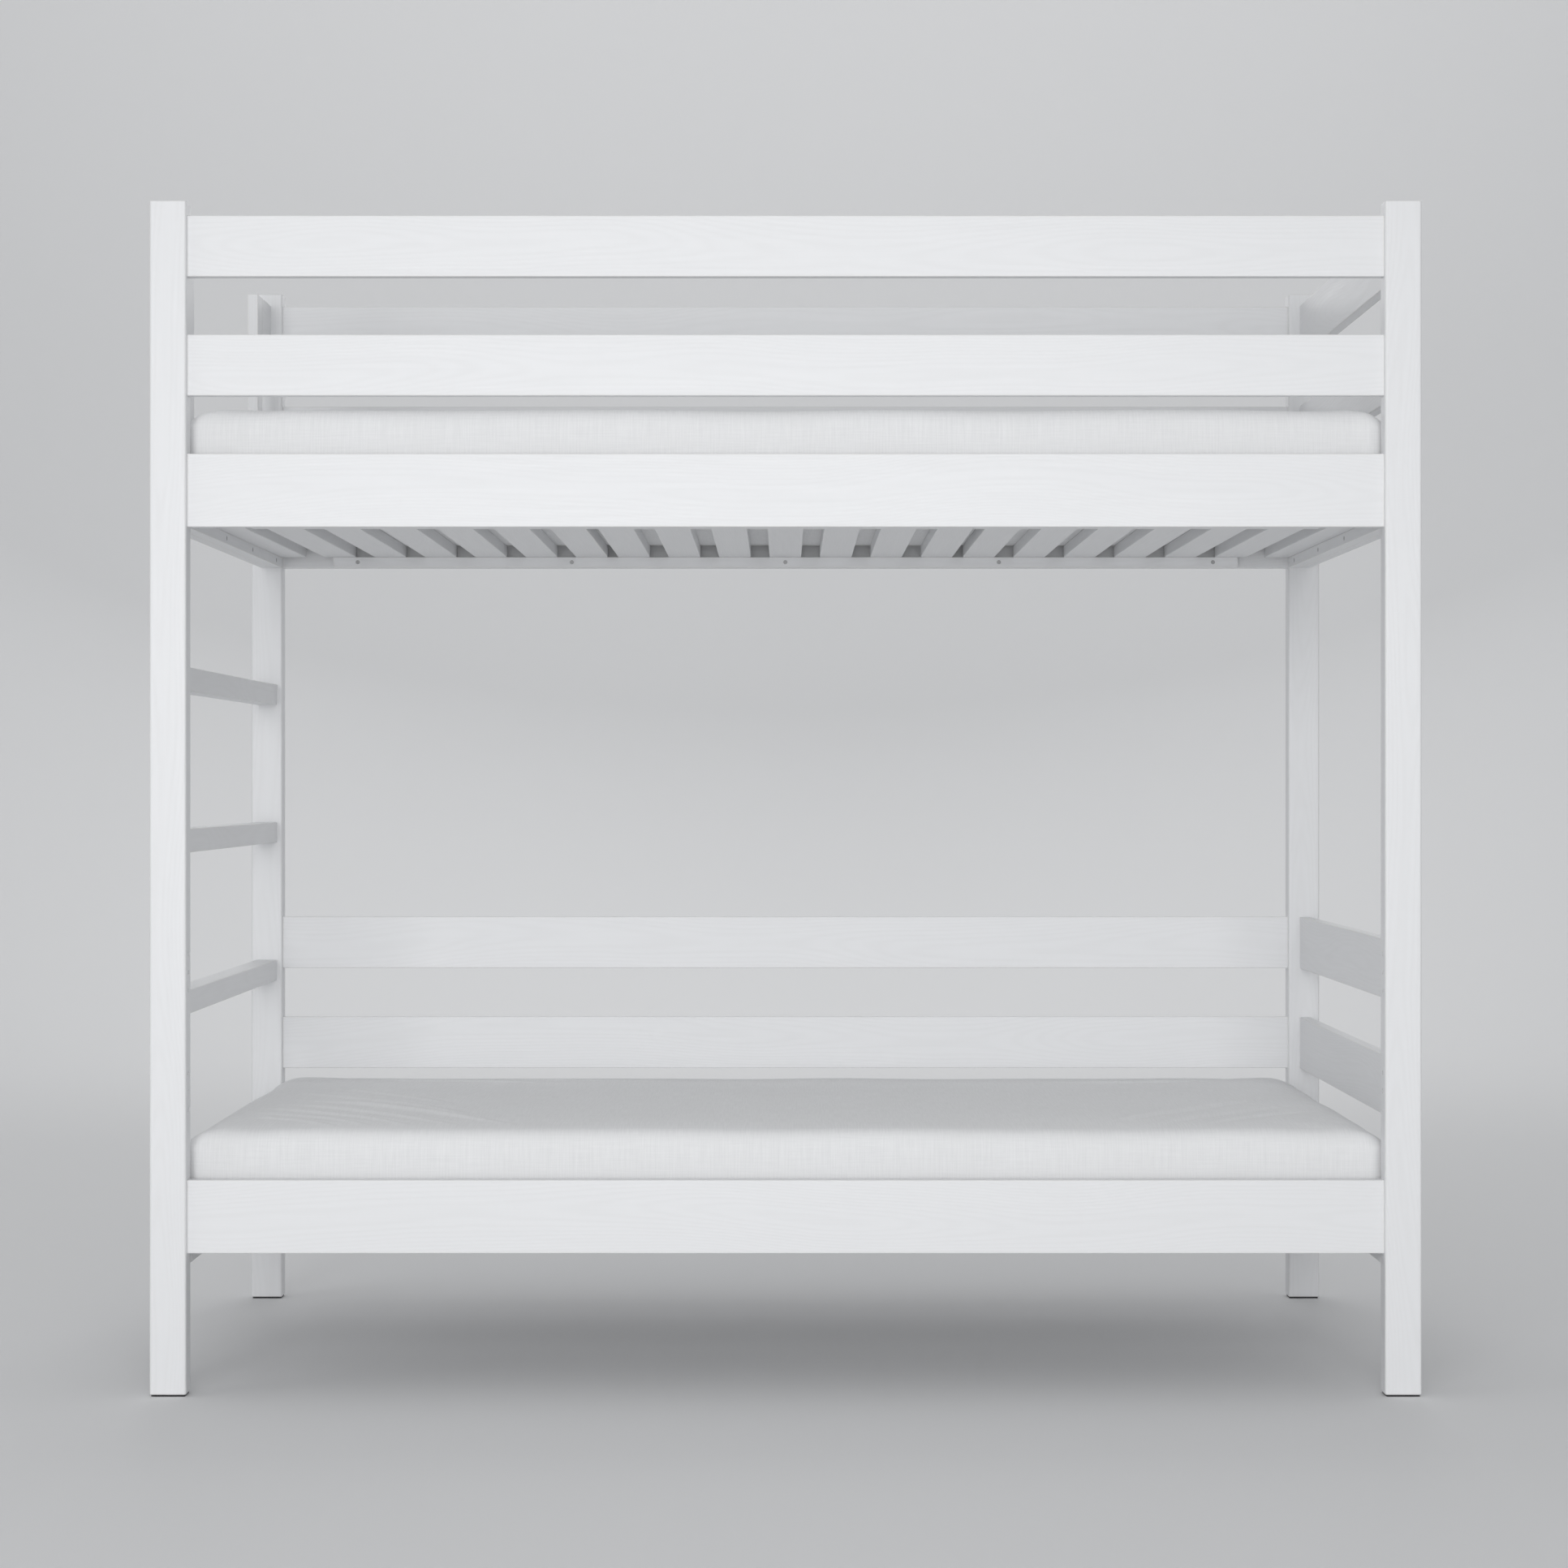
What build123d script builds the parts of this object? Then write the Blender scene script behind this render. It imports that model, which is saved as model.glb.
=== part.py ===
from build123d import *
import os

# Bunk bed with a fixed end ladder, for two 90 x 200 cm mattresses.
# +X runs along the bed, with the ladder at the -X end. +Y points to the rear, +Z up.
# The origin is the centre of the footprint on the floor. All sizes are in millimetres.

# Mattresses and the space they need
mattress_length = 2000
mattress_width = 900
mattress_height = 150
mattress_corner_radius = 45
mattress_edge_radius = 30
mattress_end_gap = 2
mattress_side_gap = 5
cover_thickness = 1.5
cover_slack = 0.3

# Four posts on glides
post_width = 60
post_depth = 40
post_height = 1953
post_edge_radius = 4
post_end_radius = 2.5
glide_thickness = 3
glide_inset = 2
glide_corner_radius = 4

# Boards: bed rails, guard boards and end boards
board_thickness = 20
board_edge_radius = 1.5
rail_height = 120
guard_height = 100
board_gap = 95
lower_rail_low = 230
upper_rail_low = 1420

# Ladder and entry at the left end
rung_size = 40
rung_edge_radius = 2
rung_pitch = 268
first_rung_low = 617
rung_count = 3
stanchion_width = 50
entry_width = 622

# Ledgers and slats
ledger_thickness = 22
ledger_height = 20
lower_end_ledger_height = 40
ledger_edge_radius = 1
long_ledger_length = 1758
end_ledger_gap = 1
slat_width = 62
slat_gap = 36
slat_thickness = 22
slat_length = 906
slat_edge_radius = 1.5
slats_per_module = 7
modules_per_bed = 3
module_gap = 20
tape_width = 14
tape_thickness = 1
tape_inset = 8
staple_crown = 10
staple_wire = 0.6
staple_width = 1
staple_leg = 10
staple_clearance = 0.1

# Rail bolts with barrel nuts
bolt_radius = 4
bolt_length = 100
bolt_head_radius = 7.5
bolt_head_height = 2.5
bolt_socket_radius = 2.9
bolt_socket_depth = 1.8
bolt_hole_radius = 4.25
counterbore_radius = 8
counterbore_depth = 3.5
nut_radius = 5
nut_length = 14
nut_setback = 35
nut_thread_radius = 4.05
nut_slot_width = 1.2
nut_slot_depth = 1.5
nut_hole_radius = 5.1
nut_hole_depth = 17

# Dowels
dowel_radius = 3.95
dowel_hole_radius = 4
dowel_reach = 14.5
dowel_hole_depth = 15
dowel_chamfer = 0.8
dowel_offset = 30
rung_dowel_radius = 4.95
rung_dowel_hole_radius = 5
rung_dowel_reach = 24
rung_dowel_hole_depth = 24.5
rung_dowel_offset = 10
stanchion_dowel_offset = 13

# Countersunk ledger screws
screw_radius = 2
screw_head_radius = 4
screw_head_height = 2
screw_shank = 32
screw_tip = 4
screw_tip_radius = 0.3
screw_recess_width = 0.9
screw_recess_span = 4.4
screw_recess_depth = 1.6
screw_hole_radius = 2.15
screw_sink_radius = 4.3
pilot_radius = 2.05
pilot_depth = 17
long_screw_positions = (-831, -415, 0, 415, 831)
end_screw_positions = (-390, -130, 130, 390)

# Places worked out from the sizes above
inside_half = mattress_length / 2 + mattress_end_gap
post_inner_x = inside_half - ledger_thickness
post_x = post_inner_x + post_width / 2
post_outer_x = post_inner_x + post_width
post_inner_y = mattress_width / 2 + mattress_side_gap
post_y = post_inner_y + post_depth / 2
end_board_x = inside_half + board_thickness / 2
rail_inner_y = post_y - board_thickness / 2
foot = glide_thickness
lower_rail_z = foot + lower_rail_low
upper_rail_z = foot + upper_rail_low
guard_steps = (rail_height + board_gap, rail_height + guard_height + 2 * board_gap)
rung_lows = [foot + first_rung_low + i * rung_pitch for i in range(rung_count)]
stanchion_y = entry_width / 2 + stanchion_width / 2
stub_length = post_inner_y - stanchion_y - stanchion_width / 2
nut_x = post_inner_x - nut_setback
bolt_seat_x = post_outer_x - counterbore_depth
tape_y = slat_length / 2 - tape_inset
slat_pitch = slat_width + slat_gap
module_length = slats_per_module * slat_width + (slats_per_module - 1) * slat_gap
bed_lows = (lower_rail_z, upper_rail_z)

# Every long board, as (name, low edge, height, front or rear)
FRONT = -1
REAR = 1
LEFT = -1
RIGHT = 1
long_boards = [
    ("lower_front_bed_rail", lower_rail_z, rail_height, FRONT),
    ("upper_front_bed_rail", upper_rail_z, rail_height, FRONT),
    ("upper_front_middle_guard", upper_rail_z + guard_steps[0], guard_height, FRONT),
    ("upper_front_top_guard", upper_rail_z + guard_steps[1], guard_height, FRONT),
    ("lower_back_bed_rail", lower_rail_z, rail_height, REAR),
    ("lower_back_lower_board", lower_rail_z + guard_steps[0], guard_height, REAR),
    ("lower_back_upper_board", lower_rail_z + guard_steps[1], guard_height, REAR),
    ("upper_back_bed_rail", upper_rail_z, rail_height, REAR),
    ("upper_back_middle_guard", upper_rail_z + guard_steps[0], guard_height, REAR),
    ("upper_back_top_guard", upper_rail_z + guard_steps[1], guard_height, REAR),
]

# Every end board, as (name, low edge, height, left or right)
end_boards = [
    ("left_lower_end_rail", lower_rail_z, rail_height, LEFT),
    ("left_upper_end_rail", upper_rail_z, rail_height, LEFT),
    ("right_lower_end_rail", lower_rail_z, rail_height, RIGHT),
    ("right_lower_lower_board", lower_rail_z + guard_steps[0], guard_height, RIGHT),
    ("right_lower_upper_board", lower_rail_z + guard_steps[1], guard_height, RIGHT),
    ("right_upper_end_rail", upper_rail_z, rail_height, RIGHT),
    ("right_upper_middle_guard", upper_rail_z + guard_steps[0], guard_height, RIGHT),
    ("right_upper_top_guard", upper_rail_z + guard_steps[1], guard_height, RIGHT),
]
stub_low = upper_rail_z + guard_steps[1]

os.makedirs("parts", exist_ok=True)


def write_piece(builder, name):
    """Label a finished piece and write its STEP file."""
    builder.part.label = name
    export_step(builder.part, f"parts/{name}.step")


def facing(x, y, z, direction):
    """A work plane at a point, with its normal along direction."""
    return Plane(origin=(x, y, z), z_dir=direction)


def dowel_heights(low, height):
    """The two dowel heights in the end of a board."""
    middle = low + height / 2
    return [middle - dowel_offset, middle + dowel_offset]


# ---------------------------------------------------------------------------
# Posts: full height, with holes for the rails, the end boards and the rungs
# ---------------------------------------------------------------------------
# The front posts carry the same holes as the rear ones, so that the lower front
# can take guard boards too. Those holes stay open.
post_bolt_heights = [low + height / 2 for _, low, height, face in long_boards if face == REAR]


def end_dowel_heights(side):
    """Heights of the end board dowels in a left or right post."""
    heights = []
    for _, low, height, end in end_boards:
        if end == side:
            heights += dowel_heights(low, height)
    if side == LEFT:
        heights += dowel_heights(stub_low, guard_height)
    return heights


def make_post(name, side, face):
    with BuildPart() as post:
        with BuildSketch(Plane.XY.offset(foot)):
            with Locations((side * post_x, face * post_y)):
                Rectangle(post_width, post_depth)
        extrude(amount=post_height)
        fillet(post.edges().filter_by(Axis.Z), post_edge_radius)
        fillet(post.edges().group_by(Axis.Z)[0], post_end_radius)
        fillet(post.edges().group_by(Axis.Z)[-1], post_end_radius)
        outer = [
            facing(side * post_outer_x, face * post_y, z, (side, 0, 0)) for z in post_bolt_heights
        ]
        with Locations(*outer):
            CounterBoreHole(bolt_hole_radius, counterbore_radius, counterbore_depth, post_width)
        inner = []
        for z in post_bolt_heights:
            for offset in (-dowel_offset, dowel_offset):
                inner.append(facing(side * post_inner_x, face * post_y, z + offset, (-side, 0, 0)))
        with Locations(*inner):
            Hole(dowel_hole_radius, dowel_hole_depth)
        ends = [
            facing(side * end_board_x, face * post_inner_y, z, (0, -face, 0))
            for z in end_dowel_heights(side)
        ]
        with Locations(*ends):
            Hole(dowel_hole_radius, dowel_hole_depth)
        if side == LEFT:
            rungs = []
            for low in rung_lows:
                for offset in (-rung_dowel_offset, rung_dowel_offset):
                    z = low + rung_size / 2 + offset
                    rungs.append(facing(side * post_x, face * post_inner_y, z, (0, -face, 0)))
            with Locations(*rungs):
                Hole(rung_dowel_hole_radius, rung_dowel_hole_depth)
    write_piece(post, name)


def make_glide(name, side, face):
    with BuildPart() as glide:
        with BuildSketch(Plane.XY):
            with Locations((side * post_x, face * post_y)):
                RectangleRounded(
                    post_width - 2 * glide_inset,
                    post_depth - 2 * glide_inset,
                    glide_corner_radius,
                )
        extrude(amount=glide_thickness)
    write_piece(glide, name)


for side, side_name in ((LEFT, "left"), (RIGHT, "right")):
    for face, face_name in ((FRONT, "front"), (REAR, "back")):
        make_post(f"{face_name}_{side_name}_post", side, face)
        make_glide(f"{face_name}_{side_name}_glide", side, face)


# ---------------------------------------------------------------------------
# Long boards: between the left and right posts, bolted through the posts
# ---------------------------------------------------------------------------
def make_long_board(name, low, height, face):
    y = face * post_y
    middle = low + height / 2
    with BuildPart() as board:
        with BuildSketch(Plane.YZ.offset(-post_inner_x)):
            with Locations((y, middle)):
                Rectangle(board_thickness, height)
        extrude(amount=2 * post_inner_x)
        fillet(board.edges().filter_by(Axis.X), board_edge_radius)
        for side in (LEFT, RIGHT):
            end = (side, 0, 0)
            with Locations(facing(side * post_inner_x, y, middle, end)):
                Hole(bolt_hole_radius, bolt_length - post_width + counterbore_depth + dowel_chamfer)
            dowels = [facing(side * post_inner_x, y, z, end) for z in dowel_heights(low, height)]
            with Locations(*dowels):
                Hole(dowel_hole_radius, dowel_hole_depth)
            with Locations(facing(side * nut_x, y + board_thickness / 2, middle, (0, 1, 0))):
                Hole(nut_hole_radius, nut_hole_depth)
        if height == rail_height:
            pilots = [
                facing(x, face * rail_inner_y, low + ledger_height / 2, (0, -face, 0))
                for x in long_screw_positions
            ]
            with Locations(*pilots):
                Hole(pilot_radius, pilot_depth)
    write_piece(board, name)


for name, low, height, face in long_boards:
    make_long_board(name, low, height, face)


# ---------------------------------------------------------------------------
# End boards: between the front and rear posts, glued on dowels
# ---------------------------------------------------------------------------
def make_end_board(name, low, height, side):
    middle = low + height / 2
    with BuildPart() as board:
        with BuildSketch(Plane.XZ.offset(-post_inner_y)):
            with Locations((side * end_board_x, middle)):
                Rectangle(board_thickness, height)
        extrude(amount=2 * post_inner_y)
        fillet(board.edges().filter_by(Axis.Y), board_edge_radius)
        dowels = []
        for face in (FRONT, REAR):
            for z in dowel_heights(low, height):
                dowels.append(facing(side * end_board_x, face * post_inner_y, z, (0, face, 0)))
        with Locations(*dowels):
            Hole(dowel_hole_radius, dowel_hole_depth)
        if height == rail_height:
            pilots = [
                facing(side * inside_half, y, low + ledger_height / 2, (-side, 0, 0))
                for y in end_screw_positions
            ]
            with Locations(*pilots):
                Hole(pilot_radius, pilot_depth)
        if name == "left_upper_end_rail":
            with Locations(*stanchion_foot_planes((0, 0, 1))):
                Hole(dowel_hole_radius, dowel_hole_depth)
    write_piece(board, name)


def stanchion_foot_planes(direction):
    """Where the stanchions' dowels enter the top edge of the left upper end rail."""
    z = upper_rail_z + rail_height
    planes = []
    for face in (FRONT, REAR):
        for offset in (-stanchion_dowel_offset, stanchion_dowel_offset):
            planes.append(facing(-end_board_x, face * stanchion_y + offset, z, direction))
    return planes


for name, low, height, side in end_boards:
    make_end_board(name, low, height, side)


# ---------------------------------------------------------------------------
# Ladder: three square rungs between the left posts
# ---------------------------------------------------------------------------
def make_rung(name, low):
    middle = low + rung_size / 2
    with BuildPart() as rung:
        with BuildSketch(Plane.XZ.offset(-post_inner_y)):
            with Locations((-post_x, middle)):
                Rectangle(rung_size, rung_size)
        extrude(amount=2 * post_inner_y)
        fillet(rung.edges().filter_by(Axis.Y), rung_edge_radius)
        dowels = []
        for face in (FRONT, REAR):
            for offset in (-rung_dowel_offset, rung_dowel_offset):
                dowels.append(facing(-post_x, face * post_inner_y, middle + offset, (0, face, 0)))
        with Locations(*dowels):
            Hole(rung_dowel_hole_radius, rung_dowel_hole_depth)
    write_piece(rung, name)


for low, step in zip(rung_lows, ("low", "middle", "high")):
    make_rung(f"ladder_rung_{step}", low)


# ---------------------------------------------------------------------------
# Entry at the top of the ladder: a stanchion and a stub board on each side
# ---------------------------------------------------------------------------
def make_stanchion(name, face):
    low = upper_rail_z + rail_height
    with BuildPart() as stanchion:
        with BuildSketch(Plane.XY.offset(low)):
            with Locations((-end_board_x, face * stanchion_y)):
                Rectangle(board_thickness, stanchion_width)
        extrude(amount=stub_low + guard_height - low)
        fillet(stanchion.edges().filter_by(Axis.Z), board_edge_radius)
        fillet(stanchion.edges().group_by(Axis.Z)[-1], board_edge_radius)
        feet = []
        for offset in (-stanchion_dowel_offset, stanchion_dowel_offset):
            feet.append(facing(-end_board_x, face * stanchion_y + offset, low, (0, 0, -1)))
        edge_y = face * (stanchion_y + stanchion_width / 2)
        heights = dowel_heights(stub_low, guard_height)
        sides = [facing(-end_board_x, edge_y, z, (0, face, 0)) for z in heights]
        with Locations(*feet, *sides):
            Hole(dowel_hole_radius, dowel_hole_depth)
    write_piece(stanchion, name)


def make_stub_board(name, face):
    with BuildPart() as stub:
        with BuildSketch(Plane.XZ.offset(-face * post_inner_y)):
            with Locations((-end_board_x, stub_low + guard_height / 2)):
                Rectangle(board_thickness, guard_height)
        extrude(amount=face * stub_length)
        fillet(stub.edges().filter_by(Axis.Y), board_edge_radius)
        dowels = []
        for z in dowel_heights(stub_low, guard_height):
            dowels.append(facing(-end_board_x, face * post_inner_y, z, (0, face, 0)))
            inner_y = face * (post_inner_y - stub_length)
            dowels.append(facing(-end_board_x, inner_y, z, (0, -face, 0)))
        with Locations(*dowels):
            Hole(dowel_hole_radius, dowel_hole_depth)
    write_piece(stub, name)


for face, face_name in ((FRONT, "front"), (REAR, "back")):
    make_stanchion(f"entry_stanchion_{face_name}", face)
    make_stub_board(f"entry_stub_board_{face_name}", face)


# ---------------------------------------------------------------------------
# Ledgers: strips screwed to the inside of the rails, which carry the slats
# ---------------------------------------------------------------------------
def long_screw_planes(low, face):
    y = face * (rail_inner_y - ledger_thickness)
    z = low + ledger_height / 2
    return [facing(x, y, z, (0, -face, 0)) for x in long_screw_positions]


def end_screw_planes(low, side):
    z = low + ledger_height / 2
    return [facing(side * post_inner_x, y, z, (-side, 0, 0)) for y in end_screw_positions]


def make_long_ledger(name, low, face):
    with BuildPart() as ledger:
        with BuildSketch(Plane.YZ.offset(-long_ledger_length / 2)):
            with Locations((face * (rail_inner_y - ledger_thickness / 2), low + ledger_height / 2)):
                Rectangle(ledger_thickness, ledger_height)
        extrude(amount=long_ledger_length)
        fillet(ledger.edges().filter_by(Axis.X), ledger_edge_radius)
        with Locations(*long_screw_planes(low, face)):
            CounterSinkHole(screw_hole_radius, screw_sink_radius, ledger_thickness)
    write_piece(ledger, name)


def make_end_ledger(name, low, side, height):
    length = 2 * (post_inner_y - end_ledger_gap)
    middle = low + ledger_height - height / 2
    with BuildPart() as ledger:
        with BuildSketch(Plane.XZ.offset(-length / 2)):
            with Locations((side * (inside_half - ledger_thickness / 2), middle)):
                Rectangle(ledger_thickness, height)
        extrude(amount=length)
        fillet(ledger.edges().filter_by(Axis.Y), ledger_edge_radius)
        with Locations(*end_screw_planes(low, side)):
            CounterSinkHole(screw_hole_radius, screw_sink_radius, ledger_thickness)
    write_piece(ledger, name)


end_ledger_heights = (lower_end_ledger_height, ledger_height)
for low, level, end_height in zip(bed_lows, ("lower", "upper"), end_ledger_heights):
    make_long_ledger(f"{level}_front_ledger", low, FRONT)
    make_long_ledger(f"{level}_back_ledger", low, REAR)
    make_end_ledger(f"{level}_left_ledger", low, LEFT, end_height)
    make_end_ledger(f"{level}_right_ledger", low, RIGHT, end_height)


# ---------------------------------------------------------------------------
# Slats: three modules of seven slats on each bed, joined by stapled tapes
# ---------------------------------------------------------------------------
def slat_centres(module):
    """The middles of one module's slats along X. Module 0 is the left one."""
    start = (module - (modules_per_bed - 1) / 2) * (module_length + module_gap) - module_length / 2
    return [start + slat_width / 2 + i * slat_pitch for i in range(slats_per_module)]


def staple_leg_points(centres):
    """Where the staples' legs go down into the slats, as points on top of them."""
    reach = (staple_crown - staple_wire) / 2
    return [
        (x + leg, row)
        for x in centres
        for leg in (-reach, reach)
        for row in (-tape_y, tape_y)
    ]


def make_slat_module(name, low, module):
    centres = slat_centres(module)
    pocket = staple_wire + staple_clearance
    with BuildPart() as slats:
        with BuildSketch(Plane.XY.offset(low + ledger_height)):
            with Locations(*[(x, 0) for x in centres]):
                Rectangle(slat_width, slat_length)
        extrude(amount=slat_thickness)
        fillet(slats.edges().filter_by(Axis.Y), slat_edge_radius)
        with BuildSketch(Plane.XY.offset(low + ledger_height + slat_thickness)):
            with Locations(*staple_leg_points(centres)):
                Rectangle(pocket, staple_width + staple_clearance)
        extrude(amount=-staple_leg, mode=Mode.SUBTRACT)
    write_piece(slats, name)


def make_tapes(name, low):
    top = low + ledger_height + slat_thickness
    pocket = staple_wire + staple_clearance
    with BuildPart() as tapes:
        with BuildSketch(Plane.XY.offset(top)):
            for module in range(modules_per_bed):
                centres = slat_centres(module)
                with Locations(*[(sum(centres) / len(centres), row) for row in (-tape_y, tape_y)]):
                    Rectangle(module_length - slat_width / 2, tape_width)
                with Locations(*staple_leg_points(centres)):
                    Rectangle(pocket, staple_width + staple_clearance, mode=Mode.SUBTRACT)
        extrude(amount=tape_thickness)
    write_piece(tapes, name)


for low, level in zip(bed_lows, ("lower", "upper")):
    for module, place in enumerate(("left", "middle", "right")):
        make_slat_module(f"{level}_slats_{place}", low, module)
    make_tapes(f"{level}_slat_tapes", low)

# Staples: one on each end of each slat, over the tape
with BuildPart() as slat_staples:
    for row in (-tape_y, tape_y):
        with BuildSketch(Plane.XZ.offset(-row - staple_width / 2)):
            for low in bed_lows:
                tape_top = low + ledger_height + slat_thickness + tape_thickness
                reach = (staple_crown - staple_wire) / 2
                leg_middle = tape_top - (staple_leg - staple_wire) / 2
                for module in range(modules_per_bed):
                    for x in slat_centres(module):
                        with Locations((x, tape_top + staple_wire / 2)):
                            Rectangle(staple_crown, staple_wire)
                        with Locations((x - reach, leg_middle), (x + reach, leg_middle)):
                            Rectangle(staple_wire, staple_leg - staple_wire)
        extrude(amount=staple_width)
write_piece(slat_staples, "slat_staples")

# ---------------------------------------------------------------------------
# Rail bolts and barrel nuts
# ---------------------------------------------------------------------------
bolt_points = [(face * post_y, low + height / 2) for _, low, height, face in long_boards]

with BuildPart() as rail_bolts:
    for side in (LEFT, RIGHT):
        with BuildSketch(Plane.YZ.offset(side * bolt_seat_x)):
            with Locations(*bolt_points):
                Circle(bolt_head_radius)
        extrude(amount=side * bolt_head_height)
        with BuildSketch(Plane.YZ.offset(side * bolt_seat_x)):
            with Locations(*bolt_points):
                Circle(bolt_radius)
        extrude(amount=-side * bolt_length)
        with BuildSketch(Plane.YZ.offset(side * (bolt_seat_x + bolt_head_height))):
            with Locations(*bolt_points):
                RegularPolygon(bolt_socket_radius, 6)
        extrude(amount=-side * bolt_socket_depth, mode=Mode.SUBTRACT)
write_piece(rail_bolts, "rail_bolts")

with BuildPart() as barrel_nuts:
    for face in (FRONT, REAR):
        points = [
            (side * nut_x, low + height / 2)
            for _, low, height, place in long_boards
            if place == face
            for side in (LEFT, RIGHT)
        ]
        back_y = face * post_y + nut_length / 2
        with BuildSketch(Plane.XZ.offset(-back_y)):
            with Locations(*points):
                Circle(nut_radius)
        extrude(amount=nut_length)
        with BuildSketch(Plane.XZ.offset(-back_y)):
            with Locations(*points):
                Rectangle(nut_slot_width, 2 * nut_radius)
        extrude(amount=nut_slot_depth, mode=Mode.SUBTRACT)
    with BuildSketch(Plane.YZ.offset(-nut_x - nut_radius)):
        with Locations(*bolt_points):
            Circle(nut_thread_radius)
    extrude(amount=2 * (nut_x + nut_radius), mode=Mode.SUBTRACT)
write_piece(barrel_nuts, "barrel_nuts")


# ---------------------------------------------------------------------------
# Dowels
# ---------------------------------------------------------------------------
def make_dowels(name, planes, radius, reach):
    """Round dowels, each centred on a joint face and lying along its plane's normal."""
    with BuildPart() as dowels:
        with Locations(*planes):
            Cylinder(radius, 2 * reach)
        chamfer(dowels.edges().filter_by(GeomType.CIRCLE), dowel_chamfer)
    write_piece(dowels, name)


rail_dowel_planes = [
    facing(side * post_inner_x, face * post_y, z, (side, 0, 0))
    for _, low, height, face in long_boards
    for z in dowel_heights(low, height)
    for side in (LEFT, RIGHT)
]
end_dowel_planes = [
    facing(side * end_board_x, face * post_inner_y, z, (0, face, 0))
    for _, low, height, side in end_boards
    for z in dowel_heights(low, height)
    for face in (FRONT, REAR)
]
rung_dowel_planes = [
    facing(-post_x, face * post_inner_y, low + rung_size / 2 + offset, (0, face, 0))
    for low in rung_lows
    for offset in (-rung_dowel_offset, rung_dowel_offset)
    for face in (FRONT, REAR)
]
entry_dowel_planes = stanchion_foot_planes((0, 0, 1)) + [
    facing(-end_board_x, face * y, z, (0, face, 0))
    for face in (FRONT, REAR)
    for y in (post_inner_y, post_inner_y - stub_length)
    for z in dowel_heights(stub_low, guard_height)
]
end_frame_dowel_planes = end_dowel_planes + entry_dowel_planes
make_dowels("rail_dowels", rail_dowel_planes, dowel_radius, dowel_reach)
make_dowels("end_frame_dowels", end_frame_dowel_planes, dowel_radius, dowel_reach)
make_dowels("ladder_rung_dowels", rung_dowel_planes, rung_dowel_radius, rung_dowel_reach)

# ---------------------------------------------------------------------------
# Ledger screws, countersunk flush with the ledgers
# ---------------------------------------------------------------------------
screw_planes = []
for low in bed_lows:
    for face in (FRONT, REAR):
        screw_planes += long_screw_planes(low, face)
    for side in (LEFT, RIGHT):
        screw_planes += end_screw_planes(low, side)

with BuildPart() as ledger_screws:
    top = (Align.CENTER, Align.CENTER, Align.MAX)
    with Locations(*screw_planes):
        Cone(screw_radius, screw_head_radius, screw_head_height, align=top)
    with Locations(*[plane.offset(-screw_head_height) for plane in screw_planes]):
        Cylinder(screw_radius, screw_shank, align=top)
    with Locations(*[plane.offset(-screw_head_height - screw_shank) for plane in screw_planes]):
        Cone(screw_tip_radius, screw_radius, screw_tip, align=top)
    with Locations(*screw_planes):
        Box(
            screw_recess_width,
            screw_recess_span,
            screw_recess_depth,
            align=top,
            mode=Mode.SUBTRACT,
        )
        Box(
            screw_recess_span,
            screw_recess_width,
            screw_recess_depth,
            align=top,
            mode=Mode.SUBTRACT,
        )
write_piece(ledger_screws, "ledger_screws")


# ---------------------------------------------------------------------------
# Mattresses: a foam core in a closed fabric cover
# ---------------------------------------------------------------------------
def rounded_block(low, inset):
    """A mattress shape with every outside face moved in by inset."""
    with BuildPart() as block:
        with BuildSketch(Plane.XY.offset(low + inset)):
            RectangleRounded(
                mattress_length - 2 * inset,
                mattress_width - 2 * inset,
                mattress_corner_radius - inset,
            )
        extrude(amount=mattress_height - 2 * inset)
        fillet(block.edges().group_by(Axis.Z)[0], mattress_edge_radius - inset)
        fillet(block.edges().group_by(Axis.Z)[-1], mattress_edge_radius - inset)
    return block.part


for low, level in zip(bed_lows, ("lower", "upper")):
    mattress_low = low + ledger_height + slat_thickness
    with BuildPart() as cover:
        add(rounded_block(mattress_low, 0))
        add(rounded_block(mattress_low, cover_thickness), mode=Mode.SUBTRACT)
    write_piece(cover, f"{level}_mattress_cover")
    with BuildPart() as core:
        add(rounded_block(mattress_low, cover_thickness + cover_slack))
    write_piece(core, f"{level}_mattress_core")
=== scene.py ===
import math

import bpy
import numpy as np
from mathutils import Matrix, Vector


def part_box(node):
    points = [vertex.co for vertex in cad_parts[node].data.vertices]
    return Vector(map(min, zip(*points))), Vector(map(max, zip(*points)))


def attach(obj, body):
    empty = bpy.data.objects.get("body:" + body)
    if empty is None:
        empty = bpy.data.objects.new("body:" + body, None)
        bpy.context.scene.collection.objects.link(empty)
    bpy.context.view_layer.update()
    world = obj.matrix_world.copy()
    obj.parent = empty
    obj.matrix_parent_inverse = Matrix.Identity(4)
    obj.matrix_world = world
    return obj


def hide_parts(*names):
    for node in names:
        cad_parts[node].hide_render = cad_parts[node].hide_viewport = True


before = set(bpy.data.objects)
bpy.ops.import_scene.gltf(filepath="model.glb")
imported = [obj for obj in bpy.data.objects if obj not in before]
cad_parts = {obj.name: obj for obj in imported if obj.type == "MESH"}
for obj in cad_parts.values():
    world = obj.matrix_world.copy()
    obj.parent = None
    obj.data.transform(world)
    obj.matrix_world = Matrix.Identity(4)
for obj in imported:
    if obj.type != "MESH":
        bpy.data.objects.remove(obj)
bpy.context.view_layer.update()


# Posts: four full-height uprights of planed pine, 60 by 40 mm, with eased edges. They are
# sprayed with white satin lacquer that lets the grain show as a faint relief, and the rail
# bolts pass through them from the ends of the bed.
LACQUER_WHITE = (0.835, 0.842, 0.856, 1.0)
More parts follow.
